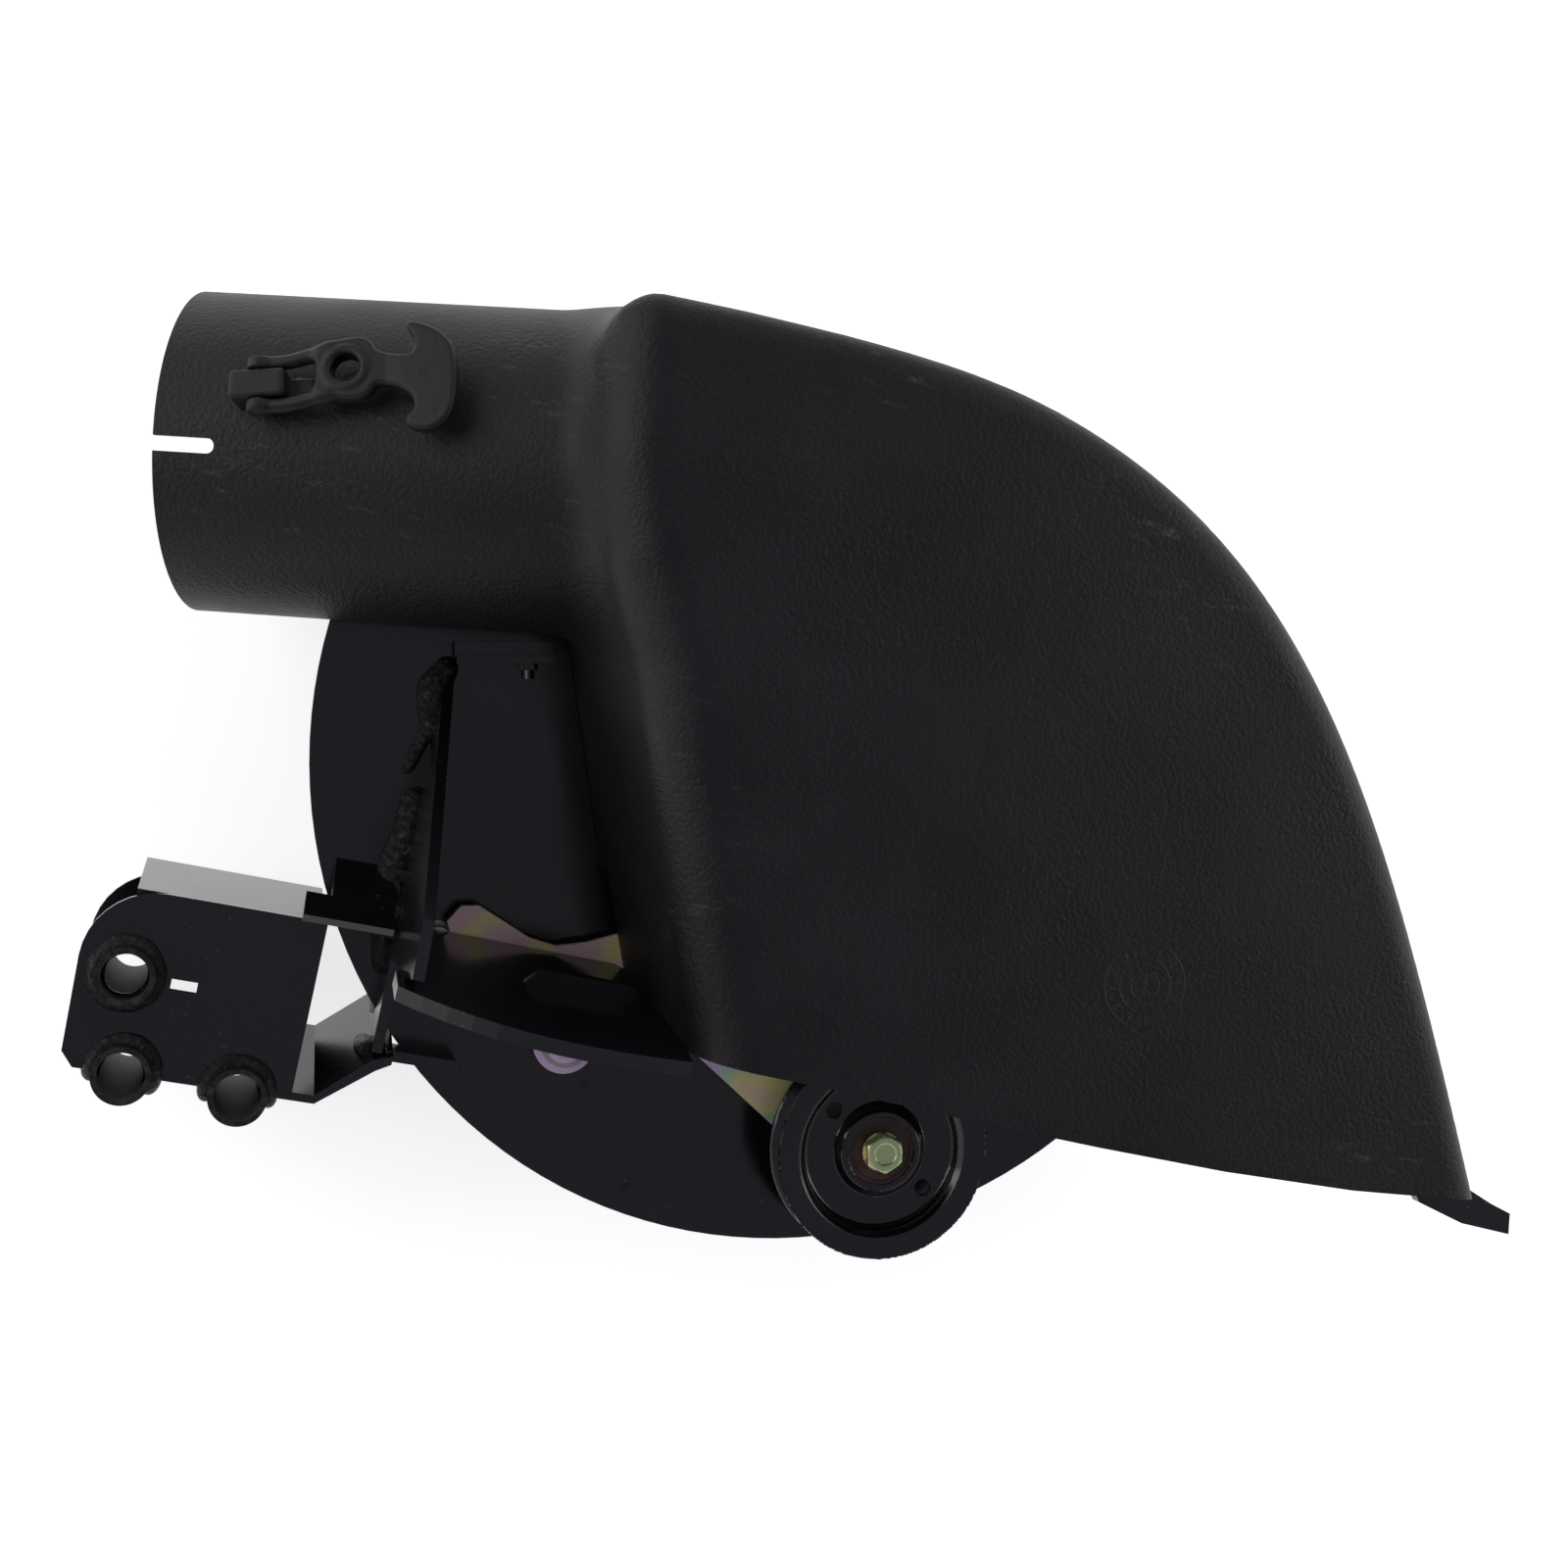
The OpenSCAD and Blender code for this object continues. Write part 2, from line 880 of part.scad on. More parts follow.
// ---- rubber draw latch ----
// The tube's outside, seen from the latch
module tube_space(r) {
    rotate([0, 0, -latch_yaw])
        translate([-latch_x, 0, -tube_r])
            cylinder_x(r, tube_tail);
}
module latch_base() {
    half_w = 7.5;
    color(steel_black)
        at_latch()
            difference() {
                union() {
                    translate([-14, -half_w, -2])
                        cube([28, 2 * half_w, 19]);
                    translate([-14, -half_w, -2])
                        cube([37, 2 * half_w, 4]);
                }
                translate([0, -20, latch_pin_h])
                    rotate([-90, 0, 0])
                        cylinder(r = latch_pin_r, h = 40);
                for (p = latch_rivets_at)
                    translate([p[0], p[1], -6])
                        cylinder(r = latch_rivet_r + clear, h = 12);
                tube_space(tube_r + clear);
            }
}
module latch_rivets() {
    color(bare_steel)
        at_latch()
            for (p = latch_rivets_at)
                translate([p[0], p[1], 2 + clear])
                    union() {
                        cylinder(r = 3.2, h = 1.4);
                        translate([0, 0, -5.6])
                            cylinder(r = latch_rivet_r, h = 5.8);
                    }
}
module latch_pin() {
    color(bare_steel)
        at_latch()
            translate([0, -14, latch_pin_h])
                rotate([-90, 0, 0])
                    cylinder(r = latch_pin_r - clear, h = 28);
}
strap_edge = [
    [-6.5, 12.5], [32, 14.5], [48, 16], [56, 15], [62, 8.5], [76, 8.5], [80, 12], [82, 20], [78, 28],
    [86, 29], [95, 23], [100, 12], [103, 0]
];
module latch_strap() {
    band_h = 9;
    arm_gap = 8;
    color(rubber_black)
        at_latch()
            difference() {
                translate([0, 0, latch_pin_h - band_h / 2])
                    linear_extrude(band_h)
                        polygon(concat(
                            strap_edge,
                            [for (i = [len(strap_edge) - 2:-1:0]) [strap_edge[i][0], -strap_edge[i][1]]]
                        ));
                translate([0, -20, latch_pin_h])
                    rotate([-90, 0, 0])
                        cylinder(r = latch_pin_r + 0.04, h = 40);
                translate([46, 0, -1])
                    cylinder(r = 7.5, h = 20);
                translate([-10, -arm_gap, -1])
                    cube([42, 2 * arm_gap, 20]);
            }
}

housing_floor();
housing_wrap();
housing_top_plate();
inlet_ring();
plate_rivets();
outlet_flange();
flange_bolts();
spindle_housing();
spindle_bolts();
upper_bearing();
lower_bearing();
spindle_shaft();
driven_pulley();
pulley_nut();
impeller_plate();
impeller_hub();
impeller_blades();
impeller_bolt();
belt_guard();
idler_arm();
idler_pulley();
idler_bearing();
idler_bolt();
idler_spacer();
idler_nut();
pivot_bushing();
pivot_washer();
pivot_bolt();
idler_spring();
stop_pin();
side_gusset();
upright_plate();
upright_rib();
weld_beads();
hitch_front_plate();
hitch_rear_plate();
hitch_top_flange();
hitch_bushing_upper();
hitch_bushing_lower();
hitch_bushing_inner();
hitch_link_plate();
lower_brace();
front_rail();
boot_shell();
boot_bolts();
latch_base();
latch_rivets();
latch_pin();
latch_strap();
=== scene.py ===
"""Looks of the blower and boot assembly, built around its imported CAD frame.

Lengths in the helpers below are millimetres in the row frame unless a name ends in _m.
"""
import json
import math
import random

import bmesh
import bpy
import numpy as np
from mathutils import Matrix, Vector


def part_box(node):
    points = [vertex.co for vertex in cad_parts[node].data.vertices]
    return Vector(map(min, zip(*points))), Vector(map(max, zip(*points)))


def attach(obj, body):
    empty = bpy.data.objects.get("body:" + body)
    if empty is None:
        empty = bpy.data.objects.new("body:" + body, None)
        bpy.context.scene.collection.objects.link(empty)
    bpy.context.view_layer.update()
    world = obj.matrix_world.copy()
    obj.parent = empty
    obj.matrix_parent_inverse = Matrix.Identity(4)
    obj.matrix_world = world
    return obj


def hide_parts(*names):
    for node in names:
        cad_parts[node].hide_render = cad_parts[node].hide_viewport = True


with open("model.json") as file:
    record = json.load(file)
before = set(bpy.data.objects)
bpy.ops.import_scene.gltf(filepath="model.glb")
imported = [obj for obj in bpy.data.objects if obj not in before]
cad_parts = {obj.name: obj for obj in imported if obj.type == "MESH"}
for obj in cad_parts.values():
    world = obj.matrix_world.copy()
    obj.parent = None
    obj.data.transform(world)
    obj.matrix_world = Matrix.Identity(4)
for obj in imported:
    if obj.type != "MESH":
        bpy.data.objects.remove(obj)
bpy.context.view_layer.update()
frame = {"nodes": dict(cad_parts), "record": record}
MM = 0.001

# ---- driving dimensions, from the CAD nodes' own boxes ----


def node_box(name):
    low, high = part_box(name)
    return np.array(low) / MM, np.array(high) / MM


PLATE_TOP = node_box("housing_top_plate")[1][2]
BOOT_TOP = node_box("boot_shell")[1][2]
WALL = 4.0
TUBE_R = 87.5
TUBE_RIM = np.array([-375.0, 156.0, 97.0])
TUBE_HEADING = math.radians(8)
TUBE_SLOPE = math.radians(21)
LATCH_ROLL = math.radians(15.7)
LATCH_YAW = math.radians(7.4)
LATCH_ALONG = 64.0
PIN_RISE = 11.0


def axes(*rows):
    return np.array(rows, float)


TUBE_X = np.array([math.cos(TUBE_SLOPE) * math.cos(TUBE_HEADING),
                   math.cos(TUBE_SLOPE) * math.sin(TUBE_HEADING), math.sin(TUBE_SLOPE)])
TUBE_Y = np.array([-math.sin(TUBE_HEADING), math.cos(TUBE_HEADING), 0.0])
TUBE_Z = np.cross(TUBE_X, TUBE_Y)
TUBE_AXES = axes(TUBE_X, TUBE_Y, TUBE_Z)
LATCH_Z = TUBE_Y * math.sin(LATCH_ROLL) + TUBE_Z * math.cos(LATCH_ROLL)
LATCH_X = TUBE_X * math.cos(LATCH_YAW) + np.cross(LATCH_Z, TUBE_X) * math.sin(LATCH_YAW)
LATCH_AXES = axes(LATCH_X, np.cross(LATCH_Z, LATCH_X), LATCH_Z)
LATCH_ORIGIN = TUBE_RIM + TUBE_X * LATCH_ALONG + LATCH_Z * TUBE_R


# ---- node graph helpers ----


class Graph:
    """A thin wrapper that adds shader nodes to one material and wires them."""

    def __init__(self, name):
        self.material = bpy.data.materials.new(name)
        self.material.use_nodes = True
        self.tree = self.material.node_tree
        self.shader = self.tree.nodes["Principled BSDF"]

    def node(self, kind, inputs=None, **settings):
        made = self.tree.nodes.new(kind)
        for key, value in settings.items():
            setattr(made, key, value)
        for key, value in (inputs or {}).items():
            self.put(made.inputs[key], value)
        return made

    def put(self, socket, value):
        if isinstance(value, bpy.types.NodeSocket):
            self.tree.links.new(value, socket)
        elif isinstance(value, bpy.types.Node):
            self.tree.links.new(value.outputs[0], socket)
        else:
            socket.default_value = value

    def set(self, **inputs):
        for key, value in inputs.items():
            self.put(self.shader.inputs[key.replace("_", " ")], value)

    def place(self):
        return self.node("ShaderNodeTexCoord").outputs["Object"]

    def noise(self, scale, detail=2.0, rough=0.5, vector=None, distortion=0.0):
        return self.node("ShaderNodeTexNoise", {
            "Vector": vector or self.place(), "Scale": scale, "Detail": detail,
            "Roughness": rough, "Distortion": distortion}).outputs["Fac"]

    def ramp(self, fac, *stops):
        made = self.node("ShaderNodeValToRGB", {"Fac": fac})
        band = made.color_ramp
        while len(band.elements) < len(stops):
            band.elements.new(0.5)
        for element, (where, colour) in zip(band.elements, stops):
            element.position = where
            element.color = (*colour, 1)
        return made.outputs["Color"]

    def grey(self, fac, *stops):
        return self.ramp(fac, *[(where, (v, v, v)) for where, v in stops])

    def maths(self, operation, a, b=0.0):
        return self.node("ShaderNodeMath", {0: a, 1: b}, operation=operation).outputs[0]

    def mix(self, fac, a, b):
        made = self.node("ShaderNodeMix", data_type="RGBA")
        self.put(made.inputs["Factor"], fac)
        self.put(made.inputs[6], a)
        self.put(made.inputs[7], b)
        return made.outputs[2]

    def bump(self, height, strength, distance, normal=None):
        made = self.node("ShaderNodeBump", {"Height": height, "Strength": strength, "Distance": distance})
        if normal is not None:
            self.put(made.inputs["Normal"], normal)
        return made.outputs["Normal"]


def rgba(r, g, b):
    return (r, g, b, 1.0)


# ---- materials ----


def black_paint():
    """Gloss powder coat: slight orange peel, faint dust specks and smears."""
    g = Graph("black_paint")
    smear = g.noise(9, 4, 0.6)
    speck = g.grey(g.noise(420, 1, 0.4), (0.0, 0), (0.74, 0), (0.80, 1), (1.0, 1))
    patch = g.grey(g.noise(14, 2, 0.5), (0.45, 0), (0.62, 1))
    dust = g.maths("MULTIPLY", speck, patch)
    g.set(Base_Color=g.mix(dust, rgba(0.0045, 0.0045, 0.0062), rgba(0.09, 0.09, 0.09)),
          Roughness=g.grey(smear, (0.3, 0.12), (0.7, 0.22)),
          Normal=g.bump(g.noise(150, 2, 0.5), 0.05, 0.0005))
    g.shader.inputs["Specular IOR Level"].default_value = 0.8
    return g.material


def weld_paint():
    """The same paint over rough weld metal."""
    g = Graph("weld_paint")
    ripple = g.noise(240, 5, 0.66, distortion=0.8)
    crest = g.grey(ripple, (0.62, 0), (0.8, 1))
    g.set(Base_Color=g.mix(crest, rgba(0.002, 0.002, 0.003), rgba(0.012, 0.011, 0.010)),
          Roughness=g.grey(ripple, (0.3, 0.08), (0.7, 0.18)),
          Normal=g.bump(ripple, 1.0, 0.0030))
    g.shader.inputs["Specular IOR Level"].default_value = 0.35
    return g.material


PANEL = [(78, 48), (203, 42), (219, -42), (90, -56)]
DIAL_CENTRE, DIAL_RINGS, DIAL_TICKS = (152.0, -24.0), (23.0, 14.5, 8.0), 12


def panel_mask(g, x, y):
    """1 inside the smooth label panel, 0 outside; x and y in metres."""
    inside = 1.0
    for (ax, ay), (bx, by) in zip(PANEL, PANEL[1:] + PANEL[:1]):
        length = math.hypot(bx - ax, by - ay)
        nx, ny = (by - ay) / length, (ax - bx) / length
        offset = -(nx * ax + ny * ay) * MM
        depth = g.maths("ADD", g.maths("ADD", g.maths("MULTIPLY", x, nx), g.maths("MULTIPLY", y, ny)), offset)
        side = g.node("ShaderNodeMapRange", {0: depth, 1: -0.0003, 2: 0.0005, 3: 1.0, 4: 0.0}).outputs[0]
        inside = g.maths("MULTIPLY", side, inside)
    return inside


def dial_lines(g, x, y):
    """Raised rings and radial ticks of a plain date dial."""
    dx = g.maths("SUBTRACT", x, DIAL_CENTRE[0] * MM)
    dy = g.maths("SUBTRACT", y, DIAL_CENTRE[1] * MM)
    radius = g.maths("SQRT", g.maths("ADD", g.maths("MULTIPLY", dx, dx), g.maths("MULTIPLY", dy, dy)))
    lines = 0.0
    for ring in DIAL_RINGS:
        away = g.maths("ABSOLUTE", g.maths("SUBTRACT", radius, ring * MM))
        lines = g.maths("MAXIMUM", g.maths("SUBTRACT", 1.0, g.maths("MULTIPLY", away, 1800)), lines)
    turn = g.maths("MULTIPLY", g.maths("ARCTAN2", dy, dx), DIAL_TICKS / (2 * math.pi))
    off = g.maths("ABSOLUTE", g.maths("SUBTRACT", g.maths("FRACT", turn), 0.5))
    tick = g.maths("LESS_THAN", g.maths("MULTIPLY", off, radius), 0.0011)
    band = g.maths("MULTIPLY", g.maths("GREATER_THAN", radius, 0.0160), g.maths("LESS_THAN", radius, 0.0215))
    arrow = g.maths("MULTIPLY", g.maths("LESS_THAN", g.maths("ABSOLUTE", dx), 0.0008),
                    g.maths("LESS_THAN", radius, 0.0065))
    lines = g.maths("MAXIMUM", lines, g.maths("MULTIPLY", tick, band))
    return g.maths("MAXIMUM", lines, arrow)


def moulded_plastic():
    """Black polyethylene: pebble grain, dull patches, pale scuffs, a smooth label panel and a dial."""
    g = Graph("moulded_polyethylene")
    parts = g.node("ShaderNodeSeparateXYZ", {"Vector": g.place()})
    x, y = parts.outputs[0], parts.outputs[1]
    on_face = g.maths("GREATER_THAN", parts.outputs[2], (BOOT_TOP - 2) * MM)
    panel = g.maths("MULTIPLY", panel_mask(g, x, y), on_face)
    cells = g.node("ShaderNodeTexVoronoi", {"Vector": g.place(), "Scale": 430.0, "Smoothness": 0.7},
                   feature="SMOOTH_F1").outputs["Distance"]
    fine = g.noise(560, 3, 0.6)
    grain = g.maths("ADD", g.maths("MULTIPLY", cells, -0.8), g.maths("MULTIPLY", fine, 0.8))
    rough_area = g.grey(g.noise(7, 2, 0.5), (0.35, 0.55), (0.65, 1.0))
    grain = g.maths("MULTIPLY", grain, g.maths("MULTIPLY", rough_area, g.maths("SUBTRACT", 1.0, panel)))
    waves = g.noise(16, 2, 0.5)
    stretched = g.node("ShaderNodeMapping", {
        "Vector": g.place(), "Rotation": (0, 0, 0.9), "Scale": (1, 4.5, 1)})
    streaks = g.noise(42, 5, 0.68, stretched)
    where = g.grey(g.noise(5.5, 2, 0.5), (0.50, 0), (0.62, 1))
    scuff = g.maths("MULTIPLY", g.grey(streaks, (0.57, 0), (0.70, 1)), where)
    scuff = g.maths("MULTIPLY", scuff, g.grey(fine, (0.4, 0.15), (0.7, 1.0)))
    tone = g.mix(g.grey(waves, (0.35, 0), (0.7, 1)),
                 rgba(0.0062, 0.0060, 0.0082), rgba(0.0084, 0.0081, 0.0108))
    tone = g.mix(panel, tone, rgba(0.0015, 0.0014, 0.0022))
    grained = g.bump(grain, 0.75, 0.0006)
    lines = g.maths("MULTIPLY", dial_lines(g, x, y), on_face)
    # The raised dial lines are painted paler: partly rubbed wear on the raised marks, partly a painted highlight
    # where light would catch them.
    tone = g.mix(lines, tone, rgba(0.017, 0.0165, 0.020))
    marks = g.maths("SUBTRACT", lines, g.maths("MULTIPLY", panel, 1.5))
    g.set(Base_Color=g.mix(g.maths("MULTIPLY", scuff, 0.55), tone, rgba(0.13, 0.13, 0.13)),
          Roughness=g.grey(waves, (0.3, 0.46), (0.7, 0.55)), Normal=g.bump(marks, 1.0, 0.0014, grained))
    g.shader.inputs["Specular IOR Level"].default_value = 0.30
    return g.material


def trimmed_plastic():
    """The knife-trimmed edge of the moulding, paler than its skin."""
    g = Graph("trimmed_edge")
    g.set(Base_Color=rgba(0.075, 0.073, 0.078),
          Roughness=g.grey(g.noise(300, 3, 0.6), (0.3, 0.5), (0.7, 0.7)))
    return g.material


def latch_rubber():
    """Soft black rubber with a faint dusty bloom."""
    g = Graph("latch_rubber")
    bloom = g.noise(60, 4, 0.6)
    g.set(Base_Color=g.mix(g.grey(bloom, (0.45, 0), (0.75, 1)),
                           rgba(0.0065, 0.0063, 0.0080), rgba(0.0125, 0.0120, 0.0140)),
          Roughness=g.grey(bloom, (0.3, 0.42), (0.7, 0.56)),
          Normal=g.bump(g.noise(700, 2, 0.5), 0.12, 0.0003))
    g.shader.inputs["Specular IOR Level"].default_value = 0.32
    return g.material


def yellow_zinc(name, metallic, *bands):
    """Dichromate plating: thin-film bands of colour over fine rolling lines."""
    g = Graph(name)
    film = g.noise(11, 2, 0.45, distortion=1.2)
    stretched = g.node("ShaderNodeMapping", {"Vector": g.place(), "Scale": (1, 30, 1)})
    lines = g.noise(60, 3, 0.6, stretched)
    g.set(Base_Color=g.ramp(film, *bands), Metallic=metallic,
          Roughness=g.grey(lines, (0.3, 0.24), (0.7, 0.38)),
          Normal=g.bump(lines, 0.06, 0.0003))
    return g.material


def arm_zinc():
    """The idler arm: pink and violet with gold and green bands."""
    return yellow_zinc("yellow_zinc", 0.35, (0.34, (0.66, 0.56, 0.80)), (0.43, (0.92, 0.62, 0.68)),
                       (0.50, (0.92, 0.66, 0.62)), (0.545, (0.93, 0.84, 0.36)), (0.58, (0.50, 0.78, 0.52)),
                       (0.62, (0.74, 0.56, 0.80)))


def bolt_zinc():
    """Bolt heads: mostly gold and green."""
    return yellow_zinc("bolt_zinc", 0.7, (0.36, (0.62, 0.76, 0.40)), (0.46, (0.95, 0.84, 0.46)),
                       (0.56, (0.92, 0.66, 0.50)), (0.64, (0.90, 0.82, 0.44)))


def bare_steel():
    """Machined steel with light stains."""
    g = Graph("bare_steel")
    stain = g.noise(70, 4, 0.6)
    g.set(Base_Color=g.ramp(stain, (0.3, (0.36, 0.35, 0.33)), (0.7, (0.58, 0.57, 0.54))), Metallic=1.0,
          Roughness=g.grey(stain, (0.3, 0.28), (0.7, 0.46)), Normal=g.bump(g.noise(500, 3, 0.6), 0.1, 0.0003))
    return g.material


def bearing_seal():
    """The greasy red-brown seal of a ball bearing."""
    g = Graph("bearing_seal")
    grime = g.noise(240, 4, 0.6)
    g.set(Base_Color=g.ramp(grime, (0.3, (0.030, 0.012, 0.009)), (0.7, (0.075, 0.036, 0.028))),
          Roughness=g.grey(grime, (0.3, 0.32), (0.7, 0.5)), Normal=g.bump(grime, 0.15, 0.0003))
    return g.material


def bushing_paint(name, centre, bore):
    """Black paint outside, worn bare metal in the bore and on the rim."""
    g = Graph(name)
    parts = g.node("ShaderNodeSeparateXYZ", {"Vector": g.place()})
    across = g.node("ShaderNodeCombineXYZ", {
        "X": g.maths("SUBTRACT", parts.outputs[0], centre[0] * MM),
        "Y": g.maths("SUBTRACT", parts.outputs[1], centre[1] * MM)})
    radius = g.node("ShaderNodeVectorMath", {0: across.outputs[0]}, operation="LENGTH").outputs["Value"]
    stain = g.noise(180, 4, 0.65)
    inside = g.maths("LESS_THAN", radius, (bore + 0.25) * MM)
    rim = g.maths("MULTIPLY", g.maths("GREATER_THAN", parts.outputs[2], (centre[2] - 0.3) * MM),
                  g.grey(stain, (0.42, 0.0), (0.62, 0.55)))
    worn = g.maths("MAXIMUM", inside, rim)
    metal = g.ramp(stain, (0.3, (0.016, 0.013, 0.011)), (0.7, (0.070, 0.060, 0.052)))
    g.set(Base_Color=g.mix(worn, rgba(0.010, 0.010, 0.012), metal), Metallic=g.maths("MULTIPLY", worn, 0.3),
          Roughness=g.mix(worn, rgba(0.2, 0.2, 0.2), rgba(0.62, 0.62, 0.62)),
          Normal=g.bump(stain, 0.2, 0.0005))
    g.shader.inputs["Specular IOR Level"].default_value = 0.4
    return g.material


MATERIALS = {
    "black_paint": black_paint(), "moulded_polyethylene": moulded_plastic(), "latch_rubber": latch_rubber(),
    "yellow_zinc": arm_zinc(), "bare_steel": bare_steel(), "bearing_seal": bearing_seal(),
}
WELD = weld_paint()
BOLT_ZINC = bolt_zinc()
TRIMMED = trimmed_plastic()


def dress(obj, material):
    obj.data.materials.clear()
    obj.data.materials.append(material)


# ---- CAD nodes: material by slot, and softened edges on what shows ----

ROUNDED = {
    "housing_top_plate": 2.4, "side_gusset": 1.0, "upright_plate": 3.2, "upright_rib": 1.2,
    "hitch_front_plate": 0.8, "hitch_rear_plate": 0.8, "hitch_link_plate": 1.2, "lower_brace": 1.2,
    "outlet_flange": 0.8, "front_rail": 1.0, "idler_arm": 0.9, "idler_bolt": 0.5, "pivot_bolt": 0.6,
    "idler_pulley": 0.6, "latch_base": 0.6, "hitch_bushing_upper": 0.7, "hitch_bushing_lower": 0.7,
    "hitch_bushing_inner": 0.7, "pivot_washer": 0.3, "spindle_housing": 0.8, "driven_pulley": 0.8,
    "belt_guard": 0.5, "impeller_blades": 0.6, "stop_pin": 0.5, "boot_bolts": 0.4, "spindle_bolts": 0.4,
}


def soften(obj, width):
    for polygon in obj.data.polygons:
        polygon.use_smooth = True
    edge = obj.modifiers.new("soft_edges", "BEVEL")
    edge.width = width * MM
    edge.segments = 3
    edge.limit_method = "ANGLE"
    edge.angle_limit = math.radians(38)
    edge.harden_normals = True
    edge.use_clamp_overlap = True


BUSHING_BORE_R = 12.85
slots = {part["node"]: part["material_slot"] for part in frame["record"]["subparts"]}
for name, obj in frame["nodes"].items():
    dress(obj, MATERIALS[slots[name]])
    if name in ROUNDED:
        soften(obj, ROUNDED[name])
for name in ("hitch_bushing_upper", "hitch_bushing_lower", "hitch_bushing_inner"):
    low, high = node_box(name)
    rim = (*((low + high) / 2)[:2], high[2])
    dress(frame["nodes"][name], bushing_paint(name + "_paint", rim, BUSHING_BORE_R))


# ---- signed-distance modelling: fields are negative inside, in millimetres ----


def polygon_field(points, outline):
    """Signed distance in the XY plane from a closed outline."""
    a = np.array(outline, float)
    b = np.roll(a, -1, axis=0)
    best = np.full(points.shape[0], 1e18)
    inside = np.zeros(points.shape[0], bool)
    for p, q in zip(a, b):
        edge = q - p
        rel = points[:, :2] - p
        t = np.clip(rel @ edge / (edge @ edge), 0, 1)
        best = np.minimum(best, ((rel - t[:, None] * edge) ** 2).sum(1))
        crosses = (p[1] > points[:, 1]) != (q[1] > points[:, 1])
        slope = edge[0] / (edge[1] if edge[1] else 1e-9)
        inside ^= crosses & (points[:, 0] < slope * (points[:, 1] - p[1]) + p[0])
    return np.where(inside, -1, 1) * np.sqrt(best)


def round_both(a, b, r):
    """Intersection with a rounded edge of radius r."""
    return np.minimum(-r, np.maximum(a, b)) + np.hypot(np.maximum(a + r, 0), np.maximum(b + r, 0))


def round_either(a, b, r):
    """Union with a fillet of radius r."""
    return np.maximum(r, np.minimum(a, b)) - np.hypot(np.maximum(r - a, 0), np.maximum(r - b, 0))


def in_axes(points, origin, rows):
    return (points - origin) @ rows.T


def capsule(points, a, b, r):
    a, b = np.array(a, float), np.array(b, float)
    t = np.clip((points - a) @ (b - a) / ((b - a) @ (b - a)), 0, 1)
    return np.linalg.norm(points - a - t[:, None] * (b - a), axis=1) - r


def block(points, centre, half, r):
    q = np.abs(points - np.array(centre, float)) - np.array(half, float) + r
    return np.linalg.norm(np.maximum(q, 0), axis=1) + np.minimum(q.max(1), 0) - r


def surface(name, field, low, high, cell, polish=3):
    """Surface-net mesh of field's zero level, with its points moved onto that level."""
    low, high = np.array(low, float), np.array(high, float)
    count = np.ceil((high - low) / cell).astype(int) + 1
    grid = [low[i] + cell * np.arange(count[i]) for i in range(3)]
    values = np.empty(count)
    for i, x in enumerate(grid[0]):
        y, z = np.meshgrid(grid[1], grid[2], indexing="ij")
        layer = np.stack([np.full(y.size, x), y.ravel(), z.ravel()], 1)
        values[i] = field(layer).reshape(count[1], count[2])
    solid = values < 0
    corners = [(i, j, k) for i in (0, 1) for j in (0, 1) for k in (0, 1)]
    cut = [slice(0, -1), slice(1, None)]
    inside = sum(solid[cut[i], cut[j], cut[k]].astype(int) for i, j, k in corners)
    mixed = (inside > 0) & (inside < 8)
    total = np.zeros(mixed.shape + (3,))
    hits = np.zeros(mixed.shape)
    for a in corners:
        for axis in range(3):
            if a[axis]:
                continue
            b = tuple(1 if n == axis else v for n, v in enumerate(a))
            va = values[cut[a[0]], cut[a[1]], cut[a[2]]]
            vb = values[cut[b[0]], cut[b[1]], cut[b[2]]]
            change = (va < 0) != (vb < 0)
            t = np.where(change, va / np.where(change, va - vb, 1), 0)
            for n in range(3):
                total[..., n] += np.where(change, a[n] + (t if n == axis else 0), 0)
            hits += change
    index = -np.ones(mixed.shape, int)
    index[mixed] = np.arange(mixed.sum())
    where = np.argwhere(mixed)
    points = low + cell * (where + total[mixed] / hits[mixed][:, None])
    faces = []
    for axis in range(3):
        u, v = (axis + 1) % 3, (axis + 2) % 3
        near, far = [slice(None)] * 3, [slice(None)] * 3
        near[axis], far[axis] = slice(0, -1), slice(1, None)
        change = solid[tuple(near)] != solid[tuple(far)]
        edge = np.argwhere(change)
        edge = edge[(edge[:, u] > 0) & (edge[:, v] > 0)]
        edge = edge[(edge[:, u] < count[u] - 1) & (edge[:, v] < count[v] - 1)]
        quad = []
        for du, dv in ((0, 0), (-1, 0), (-1, -1), (0, -1)):
            spot = edge.copy()
            spot[:, u] += du
            spot[:, v] += dv
            quad.append(index[spot[:, 0], spot[:, 1], spot[:, 2]])
        quad = np.stack(quad, 1)
        flip = ~solid[edge[:, 0], edge[:, 1], edge[:, 2]]
        quad[flip] = quad[flip][:, ::-1]
        faces.append(quad)
    faces = np.concatenate(faces)
    for _ in range(polish):
        d = field(points)
        step = 0.2
        slope = np.stack([(field(points + step * e) - d) / step for e in np.eye(3)], 1)
        move = (d / np.maximum((slope ** 2).sum(1), 0.25))[:, None] * slope
        points = points - np.clip(move, -cell / 2, cell / 2)
    mesh = bpy.data.meshes.new(name)
    mesh.from_pydata((points * MM).tolist(), [], faces.tolist())
    mesh.validate()
    mesh.shade_smooth()
    obj = bpy.data.objects.new(name, mesh)
    bpy.context.scene.collection.objects.link(obj)
    return obj


